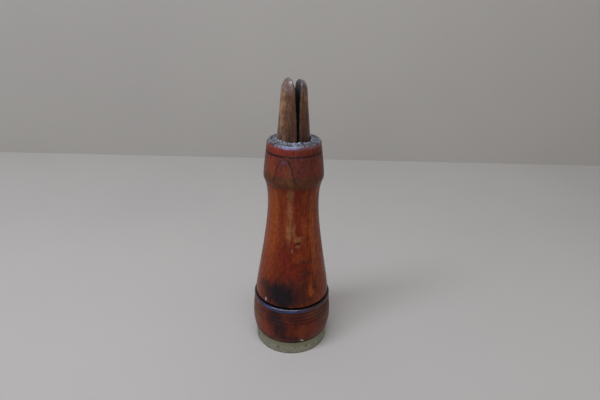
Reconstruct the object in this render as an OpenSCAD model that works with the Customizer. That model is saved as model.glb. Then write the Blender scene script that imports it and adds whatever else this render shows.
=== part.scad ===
// Hand butter mold: a turned wooden grip and case with a metal band, and a
// plunger with a carved stamp whose split stem stands out of the top.
// Millimetres, +Z up. The origin is on the axis, in the plane the mold stands on.

/* [Metal band] */
// Outer diameter of the band that the mold stands on
band_d = 46; // [44:0.5:48]
// Height of the band
band_h = 8.6; // [7:0.2:10]
// Wall thickness of the band
band_wall = 0.8; // [0.6:0.1:1.2]
// Number of tacks that hold the band
tack_count = 8; // [6:1:12]
// Diameter of a tack's head
tack_head_d = 1.7; // [1.2:0.1:2.4]

/* [Case] */
// How far the case's side stands out beyond the band
case_overhang = 0.4; // [0.2:0.1:1]
// How far the side's belly swells beyond its lower edge
case_belly = 1.5; // [0.8:0.1:2]
// Height of the parting groove between case and grip
groove_z = 34.6; // [33:0.2:36]
// Depth of the parting groove
groove_depth = 1.9; // [1:0.1:3]
// Diameter of the round cavity that shapes the butter
cavity_d = 37; // [34:0.5:38]
// Height of the cavity's roof
roof_z = 26; // [25:0.5:27]
// Gap between the case's lower edge and the surface the band stands on
lip_gap = 0.5; // [0.2:0.1:1]

/* [Grip] */
// Diameter of the grip at its foot, above the parting groove
foot_d = 45.8; // [44:0.2:47]
// Diameter of the grip at its narrow waist
waist_d = 30.1; // [28:0.2:32]
// Height of the waist
waist_z = 97; // [92:1:100]
// Widest diameter of the collar
collar_d = 35; // [34:0.2:37]
// Height of the collar's lower edge
collar_z = 112.4; // [110:0.2:114]
// Diameter of the collar just under its rounded rim
rim_d = 31; // [30:0.2:32]
// Height of the grip's top face
top_z = 134; // [132:0.5:137]
// Diameter of the spigot that the case is glued to
spigot_d = 29; // [27:0.5:31]

/* [Plunger] */
// Diameter of the stem in its bore
stem_d = 19; // [18.6:0.1:19.4]
// Radial clearance of the stem in its bore
stem_play = 0.08; // [0.04:0.01:0.1]
// Width across both prongs where they leave the grip
prong_d = 18.4; // [17.8:0.1:18.6]
// How far the prongs' own axis lies off the grip's, towards -X
prong_shift = 0.46; // [0.2:0.02:0.5]
// Height of the higher prong's tip
tip_z = 166.75; // [162:0.25:170]
// How much lower the other prong's tip is
tip_drop = 0.9; // [0.2:0.1:1.5]
// Distance of a prong's tip from the prongs' own axis
tip_x = 3.6; // [3.4:0.1:4]
// Width of the saw cut that splits the stem
kerf_w = 0.8; // [0.6:0.1:1]
// Depth of the saw cut below the grip's top face
kerf_depth = 50; // [30:1:70]
// Diameter of the tenon at the stem's foot
tenon_d = 13; // [11:0.5:14]

/* [Stamp] */
// Radial gap between the stamp and the cavity wall
stamp_gap = 0.3; // [0.2:0.05:0.5]
// Height of the stamp's carved face with the plunger drawn up
stamp_z = 14; // [12:0.5:15]
// Thickness of the stamp's rim
stamp_t = 4.5; // [4:0.25:5.5]
// Diameter of the boss on the stamp's back
boss_d = 25; // [23:0.5:27]
// Diameter of the peg that pins the stem in the boss
peg_d = 3.2; // [2.5:0.1:3.5]
// Depth of the carved petals
petal_depth = 1.6; // [1:0.1:2]
// Radius of the circle that the petals reach
petal_r = 12.5; // [11:0.5:13]

/* [Hidden] */
$fn = 96;
cut = 1;
steps = 14;
scribe_d = 0.5;
petals = 6;
band_r = band_d / 2;
band_inner_r = band_r - band_wall;
case_r = band_r + case_overhang;
cavity_r = cavity_d / 2;
stamp_r = cavity_r - stamp_gap;
neck_z = groove_z - 4.2;
bead_c = [case_r - 0.8, groove_z - 1.9];
bead_r = 1.6;
groove_r = foot_d / 2 + 0.6 - groove_depth;
rim_round = [1.6, 2.2];
tack_z = band_h * 0.54;
tack_phase = 11;
tack_dome = 0.35;
tack_seat = 0.05;
shank_r = 0.45;
shank_end = 4;
peg_z = (stamp_z + stamp_t + roof_z) / 2;
tenon_z = stamp_z + 3.2;
prong_r = prong_d / 2;
shaft_r = stem_d / 2;
bore_r = shaft_r + stem_play;
neck_r = prong_r - 2 * prong_shift;
neck_taper = [top_z - 3, top_z + 2];
nose_z = tip_z - 5.75;
nose_r = 7.25;
flare_z = top_z + 4;

// Point at t on a cubic curve with the control points p.
function bezier(p, t) =
    pow(1 - t, 3) * p[0] + 3 * pow(1 - t, 2) * t * p[1]
    + 3 * (1 - t) * t * t * p[2] + pow(t, 3) * p[3];
function curve(p) = [for (i = [0:steps]) bezier(p, i / steps)];
// Elliptical arc about c from angle a0 to a1.
function arc(c, rx, ry, a0, a1) =
    [for (i = [0:steps]) let (a = a0 + (a1 - a0) * i / steps)
        [c[0] + rx * cos(a), c[1] + ry * sin(a)]];
function mirrored(points) =
    [for (i = [len(points) - 1:-1:0]) [-points[i][0], points[i][1]]];

// Outlines are half-sections: radius, then height.
case_side = [[case_r, band_h],
             [case_r + 1.2 * case_belly, band_h + 4.9],
             [case_r + 1.2 * case_belly, band_h + 11.4],
             [case_r + 0.6, neck_z]];
flank = [[foot_d / 2, groove_z + 0.9],
         [foot_d / 2, groove_z + 8.3],
         [waist_d / 2, waist_z - 18.8],
         [waist_d / 2, waist_z]];
swell = [[waist_d / 2, waist_z],
         [waist_d / 2, waist_z + 7],
         [waist_d / 2 + 0.55, collar_z - 4.2],
         [collar_d / 2 - 0.1, collar_z]];
collar_side = [[collar_d / 2, collar_z + 1.2],
               [collar_d / 2 - 0.2, collar_z + 5.6],
               [rim_d / 2 + 0.8, top_z - 9.5],
               [rim_d / 2, top_z - rim_round[1]]];
prong_side = [[prong_r, top_z],
              [prong_r - 0.2, top_z + 9],
              [nose_r + 0.35, nose_z - 8.5],
              [nose_r, nose_z]];
nose = [[nose_r, nose_z],
        [nose_r - 0.25, nose_z + 2.6],
        [tip_x + 1.7, tip_z - 0.35],
        [tip_x, tip_z]];
slot_side = [[kerf_w / 2, flare_z],
             [kerf_w / 2, flare_z + 6],
             [1, nose_z - 7],
             [1.3, nose_z - 0.5]];
// Inner side of a prong's tip, which ends at the half-section point p.
function slot_mouth(p) = [[1.3, nose_z - 0.5],
                          [1.6, p[1] - 2.9],
                          p - [1.4, 0.15],
                          p];

// A fine turned line: a V-shaped ring cut at the half-section point p.
module scribe(p) {
    rotate_extrude()
        translate(p)
            circle(d = scribe_d, $fn = 4);
}

// A round rod on the axis from z0 to z1, kept or drilled out.
module rod(r, z0, z1) {
    translate([0, 0, z0])
        cylinder(r = r, h = z1 - z0);
}

module grip_body() {
    color([0.46, 0.20, 0.12])
    difference() {
        rotate_extrude()
            polygon(concat(
                [[0, roof_z], [spigot_d / 2, roof_z],
                 [spigot_d / 2, groove_z], [groove_r, groove_z]],
                curve(flank),
                curve(swell),
                curve(collar_side),
                arc([rim_d / 2 - rim_round[0], top_z - rim_round[1]],
                    rim_round[0], rim_round[1], 0, 90),
                [[0, top_z]]));
        rod(bore_r, roof_z - cut, top_z + cut);
        scribe(bezier(collar_side, 0.84));
        scribe([rim_d / 2 - 3.5, top_z]);
    }
}

module case_cup() {
    color([0.42, 0.17, 0.10])
    difference() {
        rotate_extrude()
            polygon(concat(
                [[0, lip_gap], [band_inner_r, lip_gap],
                 [band_inner_r, band_h]],
                curve(case_side),
                arc(bead_c, bead_r, bead_r, -50, 90),
                [[groove_r, groove_z], [0, groove_z]]));
        rod(cavity_r, lip_gap - cut, roof_z);
        rod(spigot_d / 2, roof_z - cut, groove_z + cut);
        tack_holes();
        for (t = [0.06, 0.78, 0.87, 0.95])
            scribe(bezier(case_side, t));
    }
}

module rim_band() {
    edge = 0.25;
    color([0.52, 0.50, 0.42])
    difference() {
        rotate_extrude()
            polygon([[band_inner_r, 0], [band_r - edge, 0],
                     [band_r, edge], [band_r, band_h - edge],
                     [band_r - edge, band_h], [band_inner_r, band_h]]);
        tack_holes();
    }
}

// Children stand on the band's outer surface, with +Z pointing inwards.
module tack_ring() {
    for (i = [0:tack_count - 1])
        rotate([0, 0, tack_phase + 360 * i / tack_count])
            translate([0, -band_r, tack_z])
                rotate([-90, 0, 0])
                    children();
}

// The tacks' holes, each with a shallow flat seat for the head.
module tack_holes() {
    tack_ring() {
        rod(shank_r, -cut, shank_end);
        rod(tack_head_d / 2, -cut, tack_seat);
    }
}

// A domed head in its seat and a straight shank.
module tack() {
    rotate_extrude()
        polygon(concat(
            [[0, shank_end], [shank_r, shank_end], [shank_r, tack_seat]],
            arc([0, tack_seat], tack_head_d / 2, tack_dome, 0, -90)));
}

module band_tacks() {
    color([0.24, 0.20, 0.16])
    tack_ring()
        tack();
}

// Six petals drawn with compasses, each cut as a V between two cones.
module rosette() {
    for (i = [0:petals - 1])
        intersection_for(side = [-1, 1])
            rotate([0, 0, i * 60 + side * 60])
                translate([petal_r, 0, -cut])
                    cylinder(r1 = petal_r + cut,
                             r2 = petal_r - petal_depth,
                             h = petal_depth + cut);
}

module stamp_disc() {
    round_r = 1;
    back_z = stamp_z + stamp_t;
    color([0.62, 0.45, 0.28])
    difference() {
        rotate_extrude()
            polygon(concat(
                [[0, stamp_z], [stamp_r - 0.4, stamp_z],
                 [stamp_r, stamp_z + 0.4]],
                arc([stamp_r - round_r, back_z - round_r],
                    round_r, round_r, 0, 90),
                [[boss_d / 2 + 1, back_z], [boss_d / 2, back_z + 1],
                 [boss_d / 2, roof_z - 0.6], [boss_d / 2 - 0.6, roof_z],
                 [0, roof_z]]));
        rod(tenon_d / 2, tenon_z, roof_z + cut);
        peg_hole();
        translate([0, 0, stamp_z])
            rosette();
        for (r = [petal_r + 1.5, petal_r + 3.5])
            rotate_extrude()
                translate([r, stamp_z])
                    circle(r = 0.7, $fn = 4);
    }
}

module peg_hole() {
    translate([-boss_d / 2, 0, peg_z])
        rotate([0, 90, 0])
            cylinder(d = peg_d, h = boss_d);
}

module stem_peg() {
    setback = 0.3;
    color([0.70, 0.55, 0.36])
    translate([setback - boss_d / 2, 0, peg_z])
        rotate([0, 90, 0])
            cylinder(d = peg_d, h = boss_d - 2 * setback);
}

// The saw cut and the flared gap between the prongs, seen along Y.
module stem_slot() {
    high_tip = [tip_x + prong_shift, tip_z];
    low_tip = [tip_x - prong_shift, tip_z - tip_drop];
    rotate([90, 0, 0])
        translate([0, 0, -stem_d])
            linear_extrude(height = 2 * stem_d)
                polygon(concat(
                    [[kerf_w / 2, top_z - kerf_depth]],
                    curve(slot_side),
                    curve(slot_mouth(low_tip)),
                    [[stem_d, low_tip[1]], [stem_d, tip_z + cut],
                     [-high_tip[0], tip_z + cut]],
                    mirrored(curve(slot_mouth(high_tip))),
                    mirrored(curve(slot_side)),
                    [[-kerf_w / 2, top_z - kerf_depth]]));
}

// The round shaft and the tenon at its foot.
module shaft() {
    rotate_extrude()
        polygon([[0, tenon_z], [tenon_d / 2 - 0.5, tenon_z],
                 [tenon_d / 2, tenon_z + 0.5], [tenon_d / 2, roof_z],
                 [shaft_r, roof_z], [shaft_r, neck_taper[0]],
                 [neck_r, neck_taper[1]], [0, neck_taper[1]]]);
}

// The tapered end above the grip, before it is split.
module prong_blank() {
    root_z = neck_taper[0] - 2;
    intersection() {
        rod(shaft_r, root_z, tip_z + cut);
        translate([-prong_shift, 0, 0])
            rotate_extrude()
                polygon(concat(
                    [[0, root_z - cut], [prong_r, root_z - cut]],
                    curve(prong_side),
                    curve(nose),
                    [[0, tip_z]]));
    }
}

module split_stem() {
    color([0.45, 0.33, 0.26])
    difference() {
        union() {
            shaft();
            prong_blank();
        }
        stem_slot();
        peg_hole();
    }
}

grip_body();
case_cup();
rim_band();
band_tacks();
stamp_disc();
split_stem();
stem_peg();
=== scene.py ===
"""Looks for the hand butter mold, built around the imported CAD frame.

Metres, +Z up. An angle round the mold is measured in degrees from -Y, the front, towards +X.
"""

import math

import bmesh
import bpy
import numpy as np
from mathutils import Euler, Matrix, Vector, noise


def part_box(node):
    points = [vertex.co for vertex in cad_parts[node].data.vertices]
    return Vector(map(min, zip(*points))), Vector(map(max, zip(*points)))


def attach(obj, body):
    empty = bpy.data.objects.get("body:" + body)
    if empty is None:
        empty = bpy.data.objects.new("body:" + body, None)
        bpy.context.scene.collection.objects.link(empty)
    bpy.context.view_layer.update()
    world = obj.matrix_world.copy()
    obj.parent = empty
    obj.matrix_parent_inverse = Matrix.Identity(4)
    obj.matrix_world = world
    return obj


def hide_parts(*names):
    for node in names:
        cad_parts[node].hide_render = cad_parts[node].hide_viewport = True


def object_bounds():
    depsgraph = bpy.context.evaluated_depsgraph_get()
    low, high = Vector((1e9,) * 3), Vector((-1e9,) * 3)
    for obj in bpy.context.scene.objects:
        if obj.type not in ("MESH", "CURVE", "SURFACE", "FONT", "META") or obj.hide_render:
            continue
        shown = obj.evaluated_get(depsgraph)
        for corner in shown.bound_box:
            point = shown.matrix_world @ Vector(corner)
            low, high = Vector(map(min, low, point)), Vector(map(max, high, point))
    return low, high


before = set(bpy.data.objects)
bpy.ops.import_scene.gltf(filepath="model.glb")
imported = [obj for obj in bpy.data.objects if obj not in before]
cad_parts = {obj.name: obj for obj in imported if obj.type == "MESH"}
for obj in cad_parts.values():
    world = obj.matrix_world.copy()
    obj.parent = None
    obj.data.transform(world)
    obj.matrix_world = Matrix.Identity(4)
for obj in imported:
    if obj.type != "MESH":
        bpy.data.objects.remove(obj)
cad_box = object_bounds()
noise.seed_set(1)   # without a seed, noise.noise_vector differs from run to run

MM = 0.001
TURNS = 288   # steps round a turned piece

# The frame's own heights and radii, which the pieces below are built to.
table_z = cad_box[0].z
tip_z = cad_box[1].z
grip_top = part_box("grip_body")[1].z
roof_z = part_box("grip_body")[0].z
groove_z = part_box("case_cup")[1].z
band_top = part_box("rim_band")[1].z
band_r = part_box("rim_band")[1].x
stem_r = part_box("split_stem")[1].x


# ---------------------------------------------------------------- outlines

class Turned:
    """The rings of points of a turned CAD node: each point's radius and height."""

    def __init__(self, node):
        points = np.array([v.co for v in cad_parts[node].data.vertices], float)
        self.r = np.hypot(points[:, 0], points[:, 1])
        self.z = np.round(points[:, 2], 6)

    def side(self, least_r, low, high=1.0):
        """The outer side as a smooth outline: the widest ring at each height from low to high."""
        keep = (self.r > least_r) & (self.z >= low) & (self.z <= high)
        heights = np.unique(self.z[keep])
        return Outline(heights, [self.r[keep & (self.z == h)].max() for h in heights])

    def radii(self, height):
        """The radii, from small to large, that the node has at a height."""
        return np.unique(np.round(self.r[np.abs(self.z - height) < 1e-6], 6))


class Outline:
    """A smooth curve through points that never overshoots them: outline(x) is its value at x."""

    def __init__(self, x, y):
        self.x, self.y = np.array(x, float), np.array(y, float)
        h = np.diff(self.x)
        d = np.diff(self.y) / h
        same = d[:-1] * d[1:] > 0
        a, b = 2 * h[1:] + h[:-1], h[1:] + 2 * h[:-1]
        first, second = np.where(same, d[:-1], 1.0), np.where(same, d[1:], 1.0)
        inner = np.where(same, (a + b) / (a / first + b / second), 0.0)
        self.slope = np.concatenate([[d[0]], inner, [d[-1]]])

    def __call__(self, at):
        at = np.clip(at, self.x[0], self.x[-1])
        i = np.clip(np.searchsorted(self.x, at) - 1, 0, len(self.x) - 2)
        h = self.x[i + 1] - self.x[i]
        t = (at - self.x[i]) / h
        return (self.y[i] * (1 + 2 * t) * (1 - t) ** 2 + self.slope[i] * h * t * (1 - t) ** 2
                + self.y[i + 1] * t * t * (3 - 2 * t) + self.slope[i + 1] * h * t * t * (t - 1))

    def notches(self, depth):
        """The heights at which a fine line is cut into the outline, at least that deep."""
        y = self.y
        return [self.x[i] for i in range(1, len(y) - 1) if y[i] < min(y[i - 1], y[i + 1]) - depth]

    def heights(self, step):
        """Heights from end to end, a step apart, with the outline's own points among them."""
        n = max(2, int(math.ceil((self.x[-1] - self.x[0]) / step)) + 1)
        return np.unique(np.round(np.concatenate([np.linspace(self.x[0], self.x[-1], n), self.x]), 7))


def stretch(start, end, step):
    """Points from start to end, both included, no more than a step apart."""
    start, end = np.array(start, float), np.array(end, float)
    n = max(1, int(math.ceil(np.linalg.norm(end - start) / step)))
    return [tuple(start + (end - start) * i / n) for i in range(n + 1)]


def lump(x, y, z, size, seed=0.0):
    """Smooth noise from about -1 to 1, whose lumps are that size in metres."""
    return noise.noise(Vector((x / size + seed, y / size - seed, z / size + 2 * seed)))


def bump_at(angle, z, at, wide, tall):
    """1 at a place on a turned side, falling to 0 at wide degrees and tall metres from it."""
    d = math.hypot((angle - at[0]) / wide, (z - at[1]) / tall)
    return max(0.0, 1 - d * d) ** 2


grip = Turned("grip_body")
case = Turned("case_cup")
grip_side = grip.side(least_r=13.4 * MM, low=groove_z)
case_side = case.side(least_r=20.5 * MM, low=band_top)
collar_line = max(grip_side.notches(0.1 * MM))
case_lines = case_side.notches(0.1 * MM)
bead_r = case_side(groove_z - 1.5 * MM)

# Places on the turned sides: angle in degrees, height in metres.
GRIP_CHIP = (-58, 37.2 * MM)
CASE_CHIP = (3, band_top + 1.5 * MM)

# Knocks in the turned sides: depth in mm, place, half width in degrees, half height in metres.
GRIP_KNOCKS = [
    (0.45, GRIP_CHIP, 3.2, 1.6 * MM),
    (0.30, (118, 36.3 * MM), 4.5, 1.3 * MM),
    (0.22, (-152, 113.0 * MM), 5.0, 1.5 * MM),
    (0.20, (71, 112.8 * MM), 4.0, 1.2 * MM),
]
CASE_KNOCKS = [
    (0.60, CASE_CHIP, 3.6, 1.7 * MM),
    (0.20, (CASE_CHIP[0] - 9, CASE_CHIP[1] + 4.2 * MM), 1.6, 0.9 * MM),
    (0.35, (133, band_top + 0.4 * MM), 6.0, 1.2 * MM),
    (0.25, (-101, groove_z - 2.2 * MM), 4.0, 1.0 * MM),
]

# Slow waves in the turned sides, from drying and wear: depth in mm, size in metres, seed.
GRIP_WAVES = [(0.06, 19 * MM, 1), (0.025, 4.5 * MM, 2)]
CASE_WAVES = [(0.05, 15 * MM, 11), (0.02, 3.5 * MM, 12)]

# The grip's top face, in metres: the flakes of its crust and of its broken rim, the dark ring turned into
# it, and its black patches (angle and radius, half width in degrees, half breadth along the radius).
CRUST_FLAKE, RIM_FLAKE = 1.5 * MM, 1.3 * MM
RING_R, RING_HALF = 12.7 * MM, 0.50 * MM
BLACK_PATCHES = [((47, 11.8 * MM), 17, 6 * MM), ((-66, 14.3 * MM), 16, 1.6 * MM)]


# ---------------------------------------------------------------- meshes

def mesh_piece(name, points, faces, sharp_deg=35):
    """An object with smooth faces, whose edges are sharp where its faces meet at more than sharp_deg."""
    mesh = bpy.data.meshes.new(name)
    mesh.from_pydata([tuple(p) for p in points], [], faces)
    made = bmesh.new()
    made.from_mesh(mesh)
    bmesh.ops.recalc_face_normals(made, faces=made.faces)
    made.to_mesh(mesh)
    made.free()
    mesh.polygons.foreach_set("use_smooth", [True] * len(mesh.polygons))
    mesh.set_sharp_from_angle(angle=math.radians(sharp_deg))
    piece = bpy.data.objects.new(name, mesh)
    bpy.context.scene.collection.objects.link(piece)
    return piece


def mark(piece, name, values):
    """Gives each vertex a number that the piece's material reads by name."""
    piece.data.attributes.new(name, "FLOAT", "POINT").data.foreach_set("value", values)


def lathe(name, loop, worn=None, turns=TURNS, sharp_deg=35):
    """A closed turned piece from a closed loop of (radius, height).
    worn(angle, r, z) gives a point's change in radius and height."""
    loop = [p for i, p in enumerate(loop) if math.dist(p, loop[i - 1]) > 1e-7]
    points, faces = [], []
    for j in range(turns):
        angle = 360 * j / turns - 180
        s, c = math.sin(math.radians(angle)), math.cos(math.radians(angle))
        for r, z in loop:
            dr, dz = worn(angle, r, z) if worn else (0, 0)
            points.append(((r + dr) * s, -(r + dr) * c, z + dz))
    n = len(loop)
    for j in range(turns):
        a, b = j * n, ((j + 1) % turns) * n
        faces += [(a + i, b + i, b + (i + 1) % n, a + (i + 1) % n) for i in range(n)]
    return mesh_piece(name, points, faces, sharp_deg)


def flake(x, y, size):
    """A broken crust's pattern: how far inside its flake a place is, 0 to 1, and that flake's own number."""
    place = Vector((x, y, 0)) / size
    place += 0.4 * noise.noise_vector(place)
    gaps, centres = noise.voronoi(place)
    return min(1.0, (gaps[1] - gaps[0]) / 0.22), 0.5 + 0.5 * noise.cell(centres[0] * 17)


def top_face(x, y):
    """The grip's top at a place: its rise in mm, and its shares of pale crust and of black grime."""
    r = math.hypot(x, y)
    s, c = x / r, -y / r
    angle = math.degrees(math.atan2(s, c))
    inside, own = flake(x, y, CRUST_FLAKE)
    reach = (r - stem_r) / (2.6 * MM) + 0.45 * lump(s, c, 0, 0.5, 3)
    crust = inside if own > reach - 0.15 else 0.0
    crust = max(crust, inside * (own > 0.72))
    ridge = max(0.0, 0.25 + lump(s, c, 0, 0.16, 6)) * math.exp(-((r - stem_r) / (0.8 * MM)) ** 2)
    ring = math.exp(-((r - RING_R - 0.5 * MM * lump(s, c, 0, 0.45, 5)) / RING_HALF) ** 2)
    ring *= min(1.0, 0.8 + lump(s, c, 0, 0.35, 9))
    black = max(bump_at(angle, r, *patch) for patch in BLACK_PATCHES)
    dirt = max(0.0, 1.5 * lump(x, y, 0, 2.2 * MM, 14))
    grime = min(1.0, ring + 0.8 * (1 - inside) + dirt + 1.3 * black)
    crust *= 1 - min(1.0, ring + 1.2 * black)
    return 0.22 * crust + 1.3 * ridge - 0.35 * ring, crust, grime


def rim_chip(angle, z):
    """How much of the grip's rounded rim is broken away at a place, 0 to 1."""
    mm_per_degree = 0.27
    inside, own = flake(angle * mm_per_degree * MM, z, RIM_FLAKE)
    near = max(0.0, min(1.0, 1.15 - (grip_top - z) / (2.2 * MM)))
    return inside * near * max(0.0, own - 0.35) / 0.65


def side_wear(angle, r, z, waves, knocks, chip=0.0):
    """How much is gone from a turned side at a place, in mm: its waves, then a chip, then its knocks."""
    s, c = math.sin(math.radians(angle)), math.cos(math.radians(angle))
    gone = 0.0
    for depth, size, seed in waves:
        gone += depth * (1 + lump(r * s, r * c, z, size, seed))
    gone += chip
    for depth, place, wide, tall in knocks:
        gone += depth * bump_at(angle, z, place, wide, tall)
    return gone


def build_grip():
    """The upper turned piece: its side, its crusted top face, the bore and the spigot."""
    bore_r = grip.r.min()
    spigot_r = grip.radii(roof_z)[-1]
    rim_r = grip_side(grip_top)
    loop = [(grip_side(z), z) for z in grip_side.heights(0.55 * MM)]
    loop += stretch((rim_r, grip_top), (bore_r, grip_top), 0.21 * MM)
    loop += stretch((bore_r, grip_top - 0.4 * MM), (bore_r, roof_z), 12 * MM)
    loop += stretch((spigot_r, roof_z), (spigot_r, groove_z), 5 * MM)

    def worn(angle, r, z):
        if z > grip_top - 0.01 * MM:
            s, c = math.sin(math.radians(angle)), math.cos(math.radians(angle))
            rise, _, _ = top_face(r * s, -r * c)
            return 0, MM * rise * min(1.0, (rim_r + 0.4 * MM - r) / (0.8 * MM))
        if r < bore_r + 0.01 * MM or z < groove_z + 0.1 * MM:
            return 0, 0
        return -side_wear(angle, r, z, GRIP_WAVES, GRIP_KNOCKS, 0.30 * rim_chip(angle, z)) * MM, 0

    piece = lathe("turned_grip", loop, worn, sharp_deg=32)
    crust, grime = [], []
    for vertex in piece.data.vertices:
        x, y, z = vertex.co
        pale, black = 0.0, 0.0
        if z > grip_top - 3 * MM and math.hypot(x, y) > bore_r - 0.1 * MM:
            near = max(0.0, min(1.0, (z - grip_top) / (1.2 * MM) + 1.2))
            _, pale, black = top_face(x, y)
            chip = rim_chip(math.degrees(math.atan2(x, -y)), z)
            pale, black = max(near * pale, 0.8 * chip), near * black
        crust.append(pale)
        grime.append(black)
    mark(piece, "crust", crust)
    mark(piece, "grime", grime)
    return piece


def build_case():
    """The lower turned piece: its belly and bead outside, the cavity and the spigot's hole inside."""
    low = case.z.min()
    lip_r = case.radii(low)[-1]
    cavity_r = case.radii(low)[0]
    hole_r = case.radii(groove_z)[0]
    loop = [(lip_r, low)] + stretch((lip_r, low + 1 * MM), (lip_r, band_top), 3 * MM)
    loop += [(case_side(z), z) for z in case_side.heights(0.4 * MM)]
    loop += [(hole_r, groove_z)]
    loop += stretch((hole_r, groove_z - 0.5 * MM), (hole_r, roof_z), 3 * MM)
    loop += stretch((hole_r + 0.4 * MM, roof_z), (cavity_r - 0.3 * MM, roof_z), 1 * MM)
    loop += stretch((cavity_r, roof_z), (cavity_r, low), 1.5 * MM)

    def worn(angle, r, z):
        if r < 20 * MM or z < band_top or z > groove_z - 0.05 * MM:
            return 0, 0
        return -side_wear(angle, r, z, CASE_WAVES, CASE_KNOCKS) * MM, 0

    return lathe("turned_case", loop, worn, sharp_deg=38)


def build_band():
    """The metal band: a strip bent round and lapped at the back, a little dented."""
    inner_r = Turned("rim_band").r.min()
    edge = 0.3 * MM
    lap_angle, lap = 152, 0.16 * MM
    lap_rise, lap_fade = 1.5, 22   # degrees over which the lapped end steps up, and over which it sinks away
    side = [(band_r - edge, table_z), (band_r - 0.4 * edge, table_z + 0.1 * edge),
            (band_r - 0.1 * edge, table_z + 0.4 * edge), (band_r, table_z + edge)]
    side += stretch((band_r, table_z + 1.6 * edge), (band_r, band_top - 1.6 * edge), 0.5 * MM)
    side += [(r, table_z + band_top - z) for r, z in reversed(side[:4])]
    loop = side + [(inner_r, band_top), (inner_r, table_z + 0.2 * MM), (inner_r + 0.2 * MM, table_z)]

    def worn(angle, r, z):
        if r < band_r - 0.5 * MM:
            return 0, 0
        s, c = math.sin(math.radians(angle)), math.cos(math.radians(angle))
        dent = 0.035 * (1 + lump(s, c, z * 30, 0.35, 21)) + 0.02 * (1 + lump(r * s, r * c, z, 2 * MM, 22))
        past = (angle - lap_angle) % 360
        step = min(1.0, past / lap_rise) * max(0.0, 1 - past / lap_fade)
        return MM * -dent + lap * step, 0

    return lathe("metal_band", loop, worn, turns=320, sharp_deg=50)


def from_tip(heights, reach, grows):
    """An outline of the reaches that, from the tip down, only grow or only shrink."""
    kept, slack, way = [], 0.002 * MM, 1 if grows else -1
    for h, x in sorted(zip(heights, reach), reverse=True):
        if not kept or (x - kept[-1][1]) * way > -slack:
            kept.append((h, x))
    return Outline(*zip(*reversed(kept)))


def prong_outlines(way, foot_z):
    """What a prong's section measures at each height, from the CAD's mesh: the reach of the stem's circle on
    the prong's own side and on the other prong's side, and the distance of the saw cut's face."""
    points = np.array([v.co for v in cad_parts["split_stem"].data.vertices], float)
    x, z = points[:, 0], np.round(points[:, 2], 6)
    reach = {}
    for side in (-way, way):
        mine = (x * side > 0.1 * MM) & (z > foot_z - 1 * MM)
        heights = np.unique(z[mine])
        reach[side] = from_tip(heights, [np.abs(x[mine & (z == h)]).max() for h in heights], grows=True)
    gap = from_tip(heights, [np.abs(x[mine & (z == h)]).min() for h in heights], grows=False)
    return reach[way], reach[-way], gap, heights[-1]


def section_reach(dx, dy, centre, cut, middle, big, soft):
    """How far a prong's section reaches from its centre in one direction: the part of the stem's circle, of
    radius big round middle, that lies beyond the saw cut, with its corners rounded over soft."""
    low, high, halvings = 0.0, 2 * big, 26
    for _ in range(halvings):
        mid = (low + high) / 2
        out = math.hypot(centre + dx * mid - middle, dy * mid) - big
        inside = cut - (centre + dx * mid)
        blend = max(0.0, 1 - abs(out - inside) / soft)
        low, high = (mid, high) if max(out, inside) + soft * blend ** 2 / 4 < 0 else (low, mid)
    return low


def loft(name, rings, head, sharp_deg):
    """A closed piece through rings of points, from the foot up, with its top drawn in to a head point."""
    around = len(rings[0])
    verts = [point for ring in rings for point in ring]
    verts += [head, tuple(np.mean(rings[0], axis=0))]
    faces = []
    for k in range(len(rings) - 1):
        a, b = k * around, (k + 1) * around
        faces += [(a + i, a + (i + 1) % around, b + (i + 1) % around, b + i) for i in range(around)]
    last = (len(rings) - 1) * around
    faces += [(last + i, last + (i + 1) % around, len(verts) - 2) for i in range(around)]
    faces += [((i + 1) % around, i, len(verts) - 1) for i in range(around)]
    return mesh_piece(name, verts, faces, sharp_deg)


def build_prong(name, way, foot_z):
    """One prong of the split stem, on the side that way (-1 or 1) gives, from foot_z up to its tip."""
    own_side, far_side, gap, top = prong_outlines(way, foot_z)
    around = 72
    nose = 6 * MM
    levels = np.concatenate([np.arange(foot_z, top - nose, 0.6 * MM),
                             top - nose * (1 - np.linspace(0, 1, 34)[:-1]) ** 1.7])
    # The left prong's end is blunter, its cut closes up higher, and no sawn face shows on its nose.
    blunt, closed = (0.40 * MM, 1.3 * MM) if way < 0 else (0.0, 0.0)
    rings, flat = [], []
    for h in levels:
        down = top - h
        like = h - blunt * (1 - math.exp(-down / (0.15 * MM))) * math.exp(-down / (4 * MM))
        mine, other = float(own_side(like)), float(far_side(like))
        cut = float(gap(h - closed * math.exp(-down / (2 * MM))))
        big, middle = (mine + other) / 2, (mine - other) / 2
        soft = min(0.9 * MM, 0.35 * (mine - cut))
        centre = (mine + cut) / 2
        above = min(1.0, max(0.0, (h - grip_top) / (3 * MM)))
        bare = 1.0 if way > 0 else min(1.0, max(0.0, down / (3 * MM) - 0.5))
        ring = []
        for i in range(around):
            a = 2 * math.pi * i / around
            dx, dy = math.cos(a), math.sin(a)
            reach = section_reach(dx, dy, centre, cut, middle, big, soft)
            px, py = centre + dx * reach, dy * reach
            flat.append(bare * max(0.0, min(1.0, 1.3 - (px - cut) / (0.32 * MM))))
            dent = above * MM * (0.05 * (1 + lump(px, py, h, 6 * MM, 31 + way))
                                 + 0.03 * (1 + lump(px, py, h, 1.6 * MM, 33 + way)))
            keep = 1 - dent / math.hypot(px, py)
            ring.append((way * px * keep, py * keep, h))
        rings.append(ring)
    tip = np.mean(rings[-1], axis=0)
    piece = loft(name, rings, (tip[0], tip[1], min(top, tip[2] + 0.1 * MM)), sharp_deg=80)
    mark(piece, "sawn", flat + [0.0, 0.0])
    return piece


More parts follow.
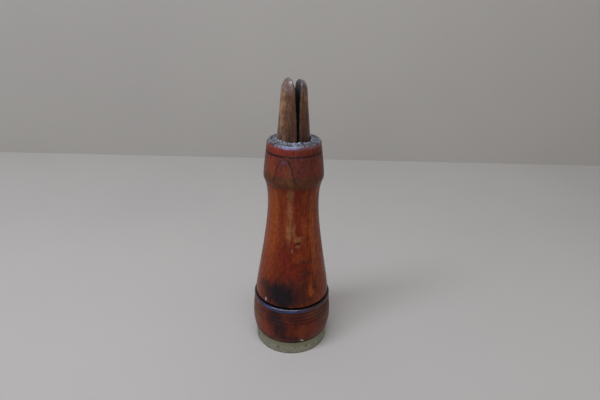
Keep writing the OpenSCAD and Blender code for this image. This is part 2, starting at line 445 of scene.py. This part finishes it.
def build_shaft(high):
    """The stem below its saw cut: tenon, shoulder and round shaft."""
    node = Turned("split_stem")
    low = node.z.min()
    tenon_r = node.radii(roof_z)[0]
    loop = [(0.2 * MM, low), (tenon_r - 0.5 * MM, low), (tenon_r, low + 0.5 * MM), (tenon_r, roof_z),
            (stem_r, roof_z)]
    loop += stretch((stem_r, roof_z + 0.3 * MM), (stem_r, high - 0.3 * MM), 8 * MM)
    loop += [(stem_r, high), (0.2 * MM, high)]
    piece = lathe("stem_shaft", loop, turns=96)
    mark(piece, "sawn", [0.0] * len(piece.data.vertices))
    return piece


# ---------------------------------------------------------------- materials

# Colours that are used in more than one place, or that patches are painted with.
INK = (0.008, 0.0055, 0.008)
TAN, AMBER, OLIVE = (0.27, 0.105, 0.042), (0.28, 0.062, 0.011), (0.070, 0.028, 0.014)
OXBLOOD, CRIMSON = (0.105, 0.010, 0.005), (0.20, 0.024, 0.015)
PLUM, UMBER = (0.085, 0.020, 0.016), (0.045, 0.012, 0.007)
# The third colour on the next line is the blue of a painted highlight on the grip's rim.
BONE, LAVENDER, HIGHLIGHT_BLUE = (0.45, 0.41, 0.42), (0.12, 0.062, 0.098), (0.17, 0.18, 0.34)
KHAKI, ROSE = (0.20, 0.098, 0.040), (0.27, 0.105, 0.058)


class Graph:
    """Short calls that add shader nodes to one new material. Values may be numbers or sockets."""

    def __init__(self, name):
        self.material = bpy.data.materials.new(name)
        self.material.use_nodes = True
        self.tree = self.material.node_tree
        self.tree.nodes.clear()
        self.wobbles = {}
        self.shader = self.add("ShaderNodeBsdfPrincipled")
        out = self.add("ShaderNodeOutputMaterial")
        self.tree.links.new(self.shader.outputs[0], out.inputs["Surface"])
        place = self.add("ShaderNodeTexCoord").outputs["Object"]
        self.mm = self.vector("SCALE", place, scale=1000)
        split = self.add("ShaderNodeSeparateXYZ", Vector=self.mm)
        self.x, self.y, self.z = split.outputs
        turn = self.math("ARCTAN2", self.x, self.times(self.y, -1))
        self.angle = self.times(turn, 180 / math.pi)
        self.radius = self.length(self.x, self.y)

    def add(self, kind, settings=None, **inputs):
        node = self.tree.nodes.new(kind)
        for key, value in (settings or {}).items():
            setattr(node, key, value)
        self.fill(node, **inputs)
        return node

    def fill(self, node, **inputs):
        """Gives inputs of a node their values. A space in an input's name is written as _."""
        for key, value in inputs.items():
            self.put(node.inputs[key.replace("_", " ")], value)

    def put(self, socket, value):
        if isinstance(value, bpy.types.NodeSocket):
            self.tree.links.new(value, socket)
        elif socket.type == "RGBA":
            r, green, b = value if isinstance(value, tuple) else (value, value, value)
            socket.default_value = (r, green, b, 1)
        else:
            socket.default_value = value

    def math(self, operation, a, b=0.0):
        node = self.add("ShaderNodeMath", {"operation": operation})
        self.put(node.inputs[0], a)
        self.put(node.inputs[1], b)
        return node.outputs[0]

    def plus(self, a, b):
        return self.math("ADD", a, b)

    def minus(self, a, b):
        return self.math("SUBTRACT", a, b)

    def times(self, first, *others):
        """The product of two or more values."""
        for other in others:
            first = self.math("MULTIPLY", first, other)
        return first

    def length(self, u, v):
        return self.math("SQRT", self.plus(self.times(u, u), self.times(v, v)))

    def vector(self, operation, a, b=None, scale=None):
        node = self.add("ShaderNodeVectorMath", {"operation": operation})
        self.put(node.inputs[0], a)
        if b is not None:
            self.put(node.inputs[1], b)
        if scale is not None:
            self.put(node.inputs["Scale"], scale)
        return node.outputs[0]

    def mix(self, share, a, b, blend="MIX"):
        """Colour a, with a share of colour b over it."""
        node = self.add("ShaderNodeMix", {"data_type": "RGBA", "blend_type": blend})
        self.put(node.inputs[0], share)
        self.put(node.inputs[6], a)
        self.put(node.inputs[7], b)
        return node.outputs[2]

    def noise(self, sizes, detail=2.0, rough=0.5, seed=0.0, swirl=0.0):
        """Noise from 0 to 1 whose lumps have these sizes, in mm, along X, Y and Z."""
        place = self.vector("MULTIPLY", self.mm, tuple(1 / s for s in sizes))
        place = self.vector("ADD", place, (seed, -seed, 2.3 * seed))
        return self.add("ShaderNodeTexNoise", Vector=place, Scale=1.0, Detail=detail,
                        Roughness=rough, Distortion=swirl).outputs["Fac"]

    def remap(self, value, low, high, to_low=0.0, to_high=1.0, soft=True):
        """A value moved from the range low..high to the range to_low..to_high, and kept within it."""
        node = self.add("ShaderNodeMapRange", {"interpolation_type": "SMOOTHSTEP" if soft else "LINEAR"})
        for socket, v in zip(node.inputs[:5], (value, low, high, to_low, to_high)):
            self.put(socket, v)
        return node.outputs[0]

    def total(self, *parts):
        """The sum of (weight, value) pairs."""
        made = 0.0
        for weight, value in parts:
            made = self.plus(made, self.times(value, weight))
        return made

    def shade(self, colour, value, low, high, light=1.35, dark=0.6):
        """A colour made lighter where a value is low and darker where it is high."""
        grey = self.remap(value, low, high, light, dark, soft=False)
        return self.mix(1.0, colour, grey, "MULTIPLY")

    def near(self, value, at, half):
        """1 where a value is at a number, falling to 0 at half away from it."""
        return self.remap(self.math("ABSOLUTE", self.minus(value, at)), half, 0.25 * half)

    def ramp(self, value, stops):
        """The colour that a value from 0 to 1 has between the stops: (value, colour) pairs."""
        node = self.add("ShaderNodeValToRGB", Fac=value)
        bar = node.color_ramp.elements
        while len(bar) < len(stops):
            bar.new(0.5)
        for element, (place, colour) in zip(bar, stops):
            element.position = place
            element.color = (*colour, 1)
        return node.outputs[0]

    def bump(self, height, strength, distance):
        """Raises the surface by the height, 0 to 1, times the distance in mm."""
        self.put(self.shader.inputs["Normal"],
                 self.add("ShaderNodeBump", Height=height, Strength=strength,
                          Distance=distance * MM).outputs[0])

    def spot(self, angle, z, wide, tall, ragged=0.35, edge=0.3, grain=3.0):
        """A soft-edged patch round a place on a turned side: 1 inside it and 0 outside."""
        u = self.math("DIVIDE", self.minus(self.angle, angle), wide)
        v = self.math("DIVIDE", self.minus(self.z, z), tall)
        if grain not in self.wobbles:
            self.wobbles[grain] = self.noise((grain, grain, grain * 1.6), 3, 0.6, seed=grain)
        wobble = self.minus(self.wobbles[grain], 0.5)
        reach = self.plus(self.length(u, v), self.times(wobble, 2 * ragged))
        return self.remap(reach, 1 + edge, 1 - edge)

    def attribute(self, name):
        """A number that the piece's vertices carry."""
        return self.add("ShaderNodeAttribute", {"attribute_name": name}).outputs["Fac"]

    def paint(self, colour, spots):
        """Colour with patches laid over it in turn: (share, new colour, spot's own arguments)."""
        for share, over, place in spots:
            colour = self.mix(self.times(self.spot(*place), share), colour, over)
        return colour


def growth_rings(g, pith, spacing, warp=3.0, seed=0.0):
    """Growth rings round a pith line at (x, y) mm: 0 in early wood, rising to 1 at each ring's end."""
    reach = g.length(g.minus(g.x, pith[0]), g.minus(g.y, pith[1]))
    bend = g.times(g.minus(g.noise((14, 14, 60), 2, 0.5, seed), 0.5), 2 * warp)
    phase = g.math("FRACT", g.math("DIVIDE", g.plus(reach, bend), spacing))
    rise = g.remap(phase, 0.15, 0.88)
    fall = g.remap(phase, 0.9, 1.0, 1.0, 0.0, soft=False)
    return g.times(rise, fall)


def stained_wood(g, light, mid, dark):
    """Turned wood under a red-brown stain: its colour, and its fine relief from 0 to 1."""
    rings = growth_rings(g, (10, 66), 2.6, warp=4.0, seed=1.7)
    fibre = g.noise((0.8, 0.8, 11), 3, 0.7, seed=3.1)
    streak = g.noise((1.9, 1.9, 60), 3, 0.6, seed=5.9)
    mottle = g.noise((1.5, 1.5, 2.6), 2, 0.6, seed=10.1)
    cloud = g.noise((13, 13, 30), 3, 0.55, seed=8.3)
    tone = g.total((0.14, rings), (0.50, fibre), (0.55, streak), (0.24, mottle), (0.35, cloud))
    colour = g.ramp(g.remap(tone, 0.56, 1.20, soft=False), [(0.0, light), (0.5, mid), (1.0, dark)])
    pore = g.remap(g.noise((0.28, 0.28, 3.2), 2, 0.6, seed=12.0), 0.60, 0.72)
    colour = g.mix(g.times(pore, 0.35), colour, INK)
    dimple = g.noise((1.1, 1.1, 1.6), 3, 0.6, seed=2.0)
    return colour, g.total((0.45, fibre), (-0.5, pore), (0.5, dimple))


def varnish(g, colour, rough, height):
    """A thin worn gloss varnish over a colour."""
    g.fill(g.shader, Base_Color=colour, Roughness=rough, Specular_IOR_Level=0.13)
    g.bump(height, 0.5, 0.1)


def scuffs(g, smooth, dull):
    """A varnish's roughness, from smooth where it is sound to dull where it is worn."""
    return g.remap(g.noise((6, 6, 9), 4, 0.6, seed=15.0), 0.3, 0.7, smooth, dull)


def figure(g, colour, seed):
    """The fine light and dark of worn wood, laid over a painted colour."""
    grain = g.noise((0.9, 0.9, 7), 3, 0.7, seed=seed)
    fleck = g.noise((1.3, 1.3, 1.7), 3, 0.65, seed=seed + 2)
    return g.shade(colour, g.total((0.5, grain), (0.5, fleck)), 0.36, 0.64)


def polish(g, where, rough):
    """A thicker gloss coat where a surface has been rubbed."""
    g.fill(g.shader, Coat_Weight=where, Coat_Roughness=rough)


def grip_wood():
    """The grip: stained and varnished, cracked at the collar, with a crust of dried residue on top and
    painted highlights on its collar and rim.
    """
    g = Graph("grip_wood")
    colour, height = stained_wood(g, (0.27, 0.058, 0.012), (0.155, 0.024, 0.006), (0.070, 0.010, 0.004))
    colour = g.mix(knot_swirl(g), g.paint(colour, GRIP_SPOTS), UMBER)
    colour = figure(g, colour, 101.0)
    ragged = g.noise((2.2, 2.2, 1.2), 3, 0.6, seed=18.0)
    for mask in (collar_groove(g, ragged), arch_crack(g, (-32, 126.9), 0.0068, 113.2, ragged)):
        colour = g.mix(mask, colour, INK)
        height = g.total((1.0, height), (-2.5, mask))
    colour = g.mix(collar_haze(g), colour, LAVENDER)
    colour = crusted_top(g, colour, ragged)
    varnish(g, colour, g.mix(g.attribute("crust"), scuffs(g, 0.24, 0.40), 0.5), height)
    worn = g.remap(g.noise((1.6, 1.6, 1.0), 3, 0.7, seed=31.0), 0.36, 0.62, 0.10, 0.85)
    polish(g, g.times(g.remap(g.z, grip_top / MM - 3, grip_top / MM - 1.5), worn), 0.35)
    return g.material


def knot_swirl(g):
    """Where dark lines wind round the knot above the black patch."""
    knot = g.noise((11, 11, 5), 0, 0.0, seed=37.0, swirl=0.7)
    return g.times(g.near(knot, 0.5, 0.09), g.spot(6, 56, 36, 11, 0.6, 0.5), 0.6)


def collar_groove(g, ragged):
    """Where dirt has stayed in the collar's turned line, above all at the front left."""
    front = g.remap(g.math("ABSOLUTE", g.plus(g.angle, 56)), 28, 18)
    kept = g.math("MAXIMUM", front, g.remap(ragged, 0.35, 0.6, 0.35, 0.85))
    return g.times(g.near(g.total((1.0, g.z), (0.5, ragged)), collar_line / MM - 0.05, 0.8), kept)


def arch_crack(g, apex, fall, foot_z, ragged):
    """A crack in the shape of an arch, from foot_z up to its apex (angle, height). Its legs fall away from
    the apex by fall mm times the power 2.5 of the degrees."""
    below = g.math("DIVIDE", g.math("MAXIMUM", g.minus(apex[1], g.z), 0), fall)
    aside = g.minus(g.angle, apex[0])
    gap = g.minus(g.math("ABSOLUTE", aside), g.math("POWER", below, 1 / 2.5))
    gap = g.plus(gap, g.times(g.minus(ragged, 0.5), 3.0))
    leg = g.remap(aside, -6, 6, 0.5, 0.75)
    inside = g.times(g.remap(g.z, foot_z - 1, foot_z + 2), g.remap(g.z, apex[1] + 0.3, apex[1] - 0.5))
    return g.times(g.near(gap, 0, 2.6), leg, inside)


def collar_haze(g):
    """Where a faint lavender bloom lies on the collar, in patches, less to the left and lower down."""
    bloom = g.remap(g.noise((1.3, 1.3, 1.3), 3, 0.7, seed=29.0), 0.50, 0.66, 0.0, 0.40)
    return g.times(g.remap(g.z, 113, 128), g.remap(g.angle, -40, 0, 0.45, 1.0), bloom)


def crusted_top(g, colour, ragged):
    """The grip's colour with its top face laid over it: grey wood, black grime, and flakes of pale crust."""
    grey = g.ramp(ragged, [(0.35, (0.055, 0.06, 0.07)), (0.65, (0.13, 0.135, 0.14))])
    colour = g.mix(g.remap(g.z, grip_top / MM - 0.7, grip_top / MM - 0.15, 0.0, 0.9), colour, grey)
    colour = g.mix(g.remap(g.attribute("grime"), 0.25, 0.8, 0.0, 0.9), colour, (0.024, 0.026, 0.040))
    speck = g.noise((0.7, 0.7, 0.7), 3, 0.7, seed=23.0)
    ash = g.ramp(speck, [(0.30, (0.05, 0.06, 0.08)), (0.50, (0.14, 0.16, 0.20)), (0.72, (0.32, 0.34, 0.40))])
    return g.mix(g.remap(g.attribute("crust"), 0.2, 0.6), colour, ash)


def case_wood():
    """The case: stained darker than the grip, with black turned lines, and a glossy bead with a painted
    highlight and painted shadow.
    """
    g = Graph("case_wood")
    colour, height = stained_wood(g, (0.150, 0.025, 0.010), (0.078, 0.013, 0.006), (0.036, 0.007, 0.004))
    colour = figure(g, g.paint(colour, CASE_SPOTS), 105.0)
    ragged = g.noise((5, 5, 1), 3, 0.6, seed=27.0)
    for z in case_lines:
        mask = g.times(g.near(g.z, z / MM, 0.5), g.remap(ragged, 0.3, 0.6, 0.3, 0.9))
        colour = g.mix(mask, colour, INK)
    bead = g.remap(g.z, groove_z / MM - 3.3, groove_z / MM - 2.7)
    # Painted highlight: on the bead's front left, where the overhead strip's reflection falls, the bead is
    # coloured blue-lavender in fine lines.
    lit = g.remap(g.math("ABSOLUTE", g.plus(g.angle, 34)), 52, 18)
    rubbed = g.noise((5, 5, 0.32), 3, 0.6, seed=33.0)
    painted_highlight = g.ramp(rubbed, [(0.36, (0.006, 0.006, 0.026)), (0.50, (0.014, 0.017, 0.075)),
                            (0.64, (0.034, 0.040, 0.15))])
    colour = g.mix(g.times(bead, 0.85), colour, (0.022, 0.007, 0.012))
    colour = g.mix(g.times(bead, lit, 0.9), colour, painted_highlight)
    # Painted shadow: the groove between the grip and the bead is made near black.
    seam_shadow = g.times(g.remap(g.z, groove_z / MM - 0.9, groove_z / MM - 0.3),
                   g.remap(g.radius, bead_r / MM - 0.2, bead_r / MM - 1.0))
    colour = g.mix(seam_shadow, colour, (0.002, 0.002, 0.002))
    varnish(g, colour, scuffs(g, 0.30, 0.45), height)
    gloss = g.times(bead, g.remap(rubbed, 0.34, 0.60, 0.35, 1.0))
    polish(g, g.times(gloss, g.minus(1, seam_shadow)), 0.25)
    return g.material


def weathered_wood():
    """The stem's bare wood: brown, rubbed smooth, darker near the grip, with painted light on its edges and
    noses, and black painted shadow in the saw cut.
    """
    g = Graph("weathered_wood")
    top, tip = grip_top / MM, tip_z / MM
    fibre = g.noise((0.7, 0.7, 7), 4, 0.7, seed=41.0)
    streak = g.noise((1.7, 1.7, 22), 3, 0.6, seed=43.0)
    blotch = g.noise((2.0, 2.0, 2.8), 3, 0.65, seed=47.0)
    tone = g.total((0.50, fibre), (0.42, streak), (0.44, blotch))
    darker_below = g.remap(g.z, top + 1, tip - 7, 0.38, 0.0, soft=False)
    # Painted light: the prongs' left edges lighter, where the light falls from the left, and their right
    # edges a little lighter too.
    painted_light_left = g.remap(g.x, -7.8, -4.6, -0.36, 0.09)
    painted_light_right = g.remap(g.x, 3, 7, 0.0, -0.20, soft=False)
    for change in (darker_below, painted_light_left, painted_light_right):
        tone = g.plus(tone, change)
    colour = g.ramp(g.remap(tone, 0.44, 1.24, soft=False),
                    [(0.0, (0.31, 0.175, 0.095)), (0.35, (0.130, 0.062, 0.033)),
                     (0.7, (0.068, 0.028, 0.015)), (1.0, (0.030, 0.011, 0.007))])
    # Partly painted highlight: the noses' pale grey-lavender is their worn grey and a painted reflection of
    # the overhead light.
    nose = g.remap(g.z, tip - 9, tip - 3)
    colour = g.mix(g.times(nose, 0.6), colour, (0.14, 0.11, 0.125))
    low = g.remap(g.z, top + 9, top + 2)
    speck = g.remap(g.noise((0.9, 0.9, 1.1), 3, 0.6, seed=49.0), 0.56, 0.68)
    colour = g.mix(g.times(low, 0.75, speck), colour, INK)
    red = g.remap(g.noise((2.2, 2.2, 5), 3, 0.6, seed=53.0), 0.45, 0.58)
    colour = g.mix(g.times(red, 0.6), colour, (0.070, 0.026, 0.016))
    colour = g.shade(colour, g.total((0.5, fibre), (0.5, blotch)), 0.38, 0.62, 1.2, 0.7)
    sawn = g.remap(g.plus(g.attribute("sawn"), g.times(g.minus(blotch, 0.5), 0.5)), 0.3, 0.75)
    # Painted shadow: the sawn face is dark charcoal near the tip and turns black lower down, where the other
    # prong shades it.
    sawn_face_shadow = g.ramp(g.remap(g.z, tip - 9, tip, soft=False),
                  [(0.0, (0.003, 0.002, 0.002)), (0.28, (0.020, 0.016, 0.015)), (1.0, (0.080, 0.075, 0.078))])
    rough = g.mix(sawn, g.remap(blotch, 0.3, 0.7, 0.28, 0.42), 0.9)
    g.fill(g.shader, Base_Color=g.mix(sawn, colour, sawn_face_shadow), Roughness=rough, Specular_IOR_Level=0.3)
    g.bump(g.total((0.8, fibre), (0.8, blotch)), 0.5, 0.12)
    polish(g, g.times(nose, 0.65, g.minus(1, sawn)), 0.34)
    return g.material


def bare_wood(name, light, dark, seed):
    """Unfinished close-grained wood, darkened by butter and handling."""
    g = Graph(name)
    rings = growth_rings(g, (31, 18), 1.9, warp=1.5, seed=seed)
    fibre = g.noise((0.4, 0.4, 5), 4, 0.65, seed=seed + 1)
    stain = g.noise((7, 7, 7), 3, 0.6, seed=seed + 2)
    tone = g.plus(g.plus(g.times(rings, 0.35), g.times(fibre, 0.45)), g.times(stain, 0.4))
    colour = g.ramp(g.remap(tone, 0.3, 0.95, soft=False), [(0.0, light), (1.0, dark)])
    g.fill(g.shader, Base_Color=colour, Roughness=g.remap(stain, 0.3, 0.7, 0.5, 0.7))
    g.bump(fibre, 0.5, 0.1)
    return g.material


def tarnished_metal():
    """Dull nickelled brass: a grey-green tarnish, rubbed brighter in places, with dark spots, and painted
    shade towards its top under the wood.
    """
    g = Graph("tarnished_metal")
    top = band_top / MM
    cloud = g.noise((5, 5, 3), 4, 0.6, seed=61.0)
    fine = g.noise((0.9, 0.9, 0.5), 3, 0.7, seed=63.0)
    brushed = g.noise((6, 6, 0.16), 3, 0.6, seed=65.0)
    tone = g.plus(g.plus(g.times(cloud, 0.55), g.times(fine, 0.3)), g.times(brushed, 0.2))
    colour = g.ramp(g.remap(tone, 0.35, 0.7, soft=False),
                    [(0.0, (0.17, 0.16, 0.12)), (0.5, (0.29, 0.28, 0.22)), (1.0, (0.40, 0.385, 0.31))])
    stain = g.remap(g.noise((2.2, 2.2, 1.5), 3, 0.65, seed=69.0), 0.54, 0.66, 0.0, 0.5)
    pit = g.remap(g.noise((0.75, 0.75, 0.75), 2, 0.5, seed=67.0), 0.68, 0.76)
    foot = g.times(g.remap(g.z, 0.15, 1.1, 1.0, 0.0), 0.75)
    # Painted shade: the band is darker and greener towards its top, under the case's overhanging belly
    # (partly olive tarnish), and darkest along its top edge.
    olive_and_shade = g.remap(g.z, top - 4.2, top - 2.4, 0.0, 0.55)
    head = g.times(g.remap(g.z, top - 0.7, top - 0.1), 0.6)
    for mask, over in ((stain, (0.13, 0.11, 0.075)), (pit, (0.045, 0.028, 0.018)),
                       (foot, (0.05, 0.045, 0.03)), (olive_and_shade, (0.20, 0.21, 0.115)),
                       (head, (0.06, 0.05, 0.035))):
        colour = g.mix(mask, colour, over)
    g.fill(g.shader, Base_Color=colour, Metallic=g.remap(tone, 0.35, 0.7, 0.45, 0.85),
           Roughness=g.remap(cloud, 0.3, 0.7, 0.42, 0.6))
    g.bump(g.plus(g.plus(g.times(brushed, 0.5), g.times(pit, -1.0)), g.times(fine, 0.5)), 0.4, 0.06)
    return g.material


def rusted_iron():
    """The tacks: dark iron with a brown bloom."""
    g = Graph("rusted_iron")
    bloom = g.noise((0.5, 0.5, 0.5), 3, 0.7, seed=71.0)
    colour = g.ramp(bloom, [(0.35, (0.12, 0.105, 0.08)), (0.6, (0.20, 0.165, 0.12))])
    g.fill(g.shader, Base_Color=colour, Roughness=g.remap(bloom, 0.35, 0.65, 0.45, 0.75), Metallic=0.6)
    g.bump(bloom, 0.5, 0.08)
    return g.material


def pale_floor():
    """The floor and backdrop: a plain pale grey."""
    g = Graph("pale_floor")
    cloud = g.noise((260, 260, 260), 3, 0.5, seed=81.0)
    colour = g.ramp(cloud, [(0.3, (0.375, 0.365, 0.345)), (0.7, (0.405, 0.395, 0.370))])
    g.fill(g.shader, Base_Color=colour, Roughness=0.9)
    return g.material


# Patches, laid over each other in this order: share, colour, and the spot's arguments, which are its angle,
# its height in mm, half its width in degrees, half its height in mm, how ragged and soft its edge is, and
# its grain in mm.
ALL_ROUND = 400
GRIP_SPOTS = [
    # the collar's purple stain, and the red above its turned line
    (0.80, PLUM, (0, 122, ALL_ROUND, 8.5, 0.1, 0.3, 9)),
    (0.65, CRIMSON, (-33, 130.5, 27, 2.6, 0.4, 0.4)),
    (0.50, CRIMSON, (-62, 128, 14, 5, 0.4, 0.4)),
    # the broad lights and darks of the flank and waist
    (0.50, AMBER, (-62, 91, 26, 30, 0.5, 0.6, 9)),
    (0.75, OXBLOOD, (-12, 60, 42, 17, 0.5, 0.5, 9)),
    (0.60, OXBLOOD, (-4, 94, 10, 18, 0.5, 0.5)),
    (0.45, OXBLOOD, (-38, 92, 7, 22, 0.5, 0.5)),
    (0.60, OXBLOOD, (-20, 69.5, 14, 4.6, 0.5, 0.4)),
    (0.60, AMBER, (27.5, 80, 3.4, 27, 0.5, 0.4)),
    (0.45, KHAKI, (33.5, 80, 2.4, 24, 0.5, 0.4)),
    (0.32, AMBER, (0, 67.5, 13, 3.6, 0.9, 0.6)),
    (0.30, AMBER, (43, 84, 14, 38, 0.5, 0.6, 9)),
    (0.22, AMBER, (-30, 119, 9, 4, 0.6, 0.5)),
    # the black patch above the groove, and the light and dark flecks beside it
    (0.70, UMBER, (-16, 43, 48, 10, 0.5, 0.5)),
    (0.75, AMBER, (18, 45.0, 4.4, 3.8, 0.8, 0.4)),
    (0.30, AMBER, (20.5, 52, 2.6, 4.5, 0.7, 0.5)),
    (0.60, UMBER, (26, 49, 4, 3, 0.6, 0.5)),
    (0.55, INK, (-60, 46.5, 16, 4, 0.6, 0.6)),
    (0.55, INK, (-34, 41, 34, 9, 0.7, 0.6)),
    (0.95, INK, (-30, 42.8, 21, 7.6, 0.6, 0.45)),
    # the dull foot of the collar, and the shade below it
    (0.75, OLIVE, (0, 113.4, ALL_ROUND, 3.5, 0.25, 0.4, 6)),
    (0.50, OXBLOOD, (0, 109.4, ALL_ROUND, 1.1, 0.4, 0.5, 6)),
    # the pale streak down the front, and the scars round its dark hole
    (0.29, KHAKI, (-20.5, 93, 6.5, 17, 0.6, 0.5)),
    (0.50, KHAKI, (-19.5, 106, 7, 3.4, 0.9, 0.5)),
    (0.32, ROSE, (-20.5, 96, 6, 4.6, 0.9, 0.5)),
    (0.52, TAN, (-21, 83, 5.8, 5.4, 0.8, 0.4)),
    (0.20, KHAKI, (-18.5, 116, 6.5, 5, 0.8, 0.6)),
    (0.30, OLIVE, (-20, 117, 9, 4, 0.6, 0.5)),
    (0.45, TAN, (-10.5, 84, 3, 5, 0.8, 0.5)),
    (0.55, TAN, (-2.5, 78.6, 11.5, 2.2, 0.6, 0.45)),
    (0.45, TAN, (-2.5, 74.6, 6, 1.0, 0.5, 0.45)),
    (0.95, UMBER, (-2.7, 76.3, 3.9, 1.0, 0.3, 0.3, 1.5)),
    (0.60, TAN, (-14.4, 71.8, 2.2, 1.3, 0.4, 0.4, 1.5)),
    # marks on the collar, and painted highlights in the crack's arch and along the front of its worn rim
    (0.60, OLIVE, (-15.5, 128, 1.5, 5.5, 0.4, 0.5, 1.5)),
    # a painted highlight inside the crack's arch
    (0.50, LAVENDER, (-32.5, 125.2, 6.5, 1.1, 0.5, 0.5, 1.5)),
    (0.20, UMBER, (10, 128.5, 80, 2.5, 1.3, 0.6, 3.0)),
    # painted highlights: lavender along the rim's front, and blue where the overhead light's reflection is
    # brightest
    (0.65, LAVENDER, (0, 133.4, 75, 1.3, 0.5, 0.5, 1.5)),
    (0.85, HIGHLIGHT_BLUE, (-26, 133.4, 22, 1.0, 0.5, 0.4, 1.5)),
    # the chip above the groove, and two fine scratches
    (0.62, BONE, (GRIP_CHIP[0], GRIP_CHIP[1] / MM, 1.8, 1.2, 0.3, 0.4, 1.5)),
    (0.35, OLIVE, (-54, 85.2, 7, 0.35, 0.3, 0.6)),
    (0.40, OLIVE, (-37, 88.0, 8, 0.35, 0.3, 0.6)),
]
CASE_SPOTS = [
    # the shade below the bead, painted light on the left side, and lighter patches on the right
    (0.35, UMBER, (0, 29.5, ALL_ROUND, 2.6, 0.2, 0.5, 6)),
    (0.30, ROSE, (-80, 22, 20, 16, 0.5, 0.6, 9)),
    (0.14, ROSE, (40, 17, 20, 12, 0.5, 0.6, 9)),
    (0.14, ROSE, (22, 29.5, 14, 3, 0.5, 0.6, 9)),
    # the black patch and the reds round it
    (0.75, INK, (-38, 26.5, 11, 5, 0.9, 0.6)),
    (0.75, INK, (-30, 19.0, 9, 6.5, 0.9, 0.6)),
    (0.50, CRIMSON, (-55, 16.5, 10, 5, 0.6, 0.5)),
    (0.30, AMBER, (2, 17.5, 8, 5.0, 0.9, 0.6)),
    (0.45, OXBLOOD, (-13, 16, 5, 5, 0.6, 0.5)),
    (0.40, CRIMSON, (20, 17, 9, 6, 0.6, 0.5)),
    # dark lines above the band
    (0.65, INK, (-20, 13.2, 16, 0.9, 0.5, 0.6)),
    (0.70, INK, (-12, 10.0, 22, 0.8, 0.5, 0.6)),
    # the pale chip at the band, and dark dents beside it
    (0.92, BONE, (CASE_CHIP[0] - 1.2, CASE_CHIP[1] / MM + 1.0, 1.5, 0.9, 0.25, 0.3, 1.5)),
    (0.92, BONE, (CASE_CHIP[0] + 0.8, CASE_CHIP[1] / MM - 0.3, 2.2, 1.0, 0.25, 0.3, 1.5)),
    (0.80, INK, (CASE_CHIP[0] - 9, CASE_CHIP[1] / MM + 4.2, 1.1, 0.9, 0.4, 0.4, 1.5)),
    (0.70, INK, (CASE_CHIP[0] - 8, CASE_CHIP[1] / MM, 1.1, 1.1, 0.4, 0.4, 1.5)),
]


# ---------------------------------------------------------------- the object


def stand_in(piece, node, body, material):
    """Puts a piece in the place of a CAD node: on its body, with its own material."""
    piece.data.materials.clear()
    piece.data.materials.append(material)
    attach(piece, body)
    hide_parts(node)


def paint_node(node, material):
    """Gives a CAD node that is shown as it is a better material."""
    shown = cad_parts[node]
    shown.data.materials.clear()
    shown.data.materials.append(material)


stand_in(build_grip(), "grip_body", "handle", grip_wood())
stand_in(build_case(), "case_cup", "handle", case_wood())
stand_in(build_band(), "rim_band", "handle", tarnished_metal())

split_z = grip_top - 50 * MM   # the foot of the saw cut
stem_wood = weathered_wood()
stand_in(build_prong("prong_left", -1, split_z), "split_stem", "plunger", stem_wood)
stand_in(build_prong("prong_right", 1, split_z), "split_stem", "plunger", stem_wood)
stand_in(build_shaft(split_z), "split_stem", "plunger", stem_wood)

paint_node("band_tacks", rusted_iron())
paint_node("stamp_disc", bare_wood("stamp_wood", (0.50, 0.34, 0.19), (0.22, 0.12, 0.06), 91.0))
paint_node("stem_peg", bare_wood("peg_wood", (0.55, 0.38, 0.22), (0.30, 0.18, 0.09), 95.0))


# ---------------------------------------------------------------- the stage

# The camera, solved from the photo's turned circles and silhouette.
VIEW_TURN = 14.5               # degrees to the right of +Y
VIEW_PITCH = 24.585            # degrees down
VIEW_ROLL = 1.32
LENS, SENSOR = 26.43, 36.0     # mm
EYE = (-2.409, -10.0, 8.907)   # in band radii from the origin

WORLD_COLOUR, WORLD_STRENGTH = (1.0, 0.95, 0.86, 1), 0.40


def build_camera():
    """The camera at the photo's angle."""
    data = bpy.data.cameras.new("camera")
    data.lens, data.sensor_width = LENS, SENSOR
    data.clip_start, data.clip_end = 0.01, 20
    camera = bpy.data.objects.new("camera", data)
    bpy.context.scene.collection.objects.link(camera)
    camera.location = Vector(EYE) * band_r
    turn = Euler((0, 0, math.radians(-VIEW_TURN))).to_matrix()
    tilt = Euler((math.radians(90 - VIEW_PITCH), 0, 0)).to_matrix()
    roll = Euler((0, 0, math.radians(VIEW_ROLL))).to_matrix()
    camera.rotation_euler = (turn @ tilt @ roll).to_euler()
    bpy.context.scene.camera = camera


def build_sweep():
    """A plain floor, folded up into a backdrop behind the object, square to the camera's view."""
    front, back, wide, high = -2.2, 0.350, 3.0, 2.2
    outline = [(front, 0.0), (back, 0.0), (back, high)]
    verts = [(x, y, z) for x in (-wide, wide) for y, z in outline]
    n = len(outline)
    sweep = mesh_piece("floor_sweep", verts, [(i, i + 1, n + i + 1, n + i) for i in range(n - 1)])
    sweep.rotation_euler = (0, 0, math.radians(-VIEW_TURN))
    sweep.data.materials.append(pale_floor())


def area_light(name, place, aim, size, power, colour):
    """A soft rectangular light."""
    data = bpy.data.lights.new(name, "AREA")
    data.shape, data.energy, data.color = "RECTANGLE", power, colour
    data.size, data.size_y = size
    light = bpy.data.objects.new(name, data)
    bpy.context.scene.collection.objects.link(light)
    light.location = place
    light.rotation_euler = (Vector(aim) - Vector(place)).to_track_quat("-Z", "Y").to_euler()


def build_lights():
    """A wide strip overhead and to the left, a weak fill from the front, and an even pale surround."""
    world = bpy.data.worlds.new("studio")
    bpy.context.scene.world = world
    world.use_nodes = True
    surround = world.node_tree.nodes["Background"].inputs
    surround["Color"].default_value = WORLD_COLOUR
    surround["Strength"].default_value = WORLD_STRENGTH
    area_light("ceiling_strip", place=(-0.50, -0.28, 1.2), aim=(-0.50, -0.28, 0), size=(1.4, 0.3),
               power=17.0, colour=(0.86, 0.88, 1.0))
    area_light("front_fill", place=(-0.6, -1.3, 0.8), aim=(0, 0, 0.08), size=(1.0, 1.0),
               power=3.0, colour=(1.0, 0.97, 0.94))


build_camera()
build_sweep()
build_lights()
bpy.context.scene.view_settings.view_transform = "Standard"
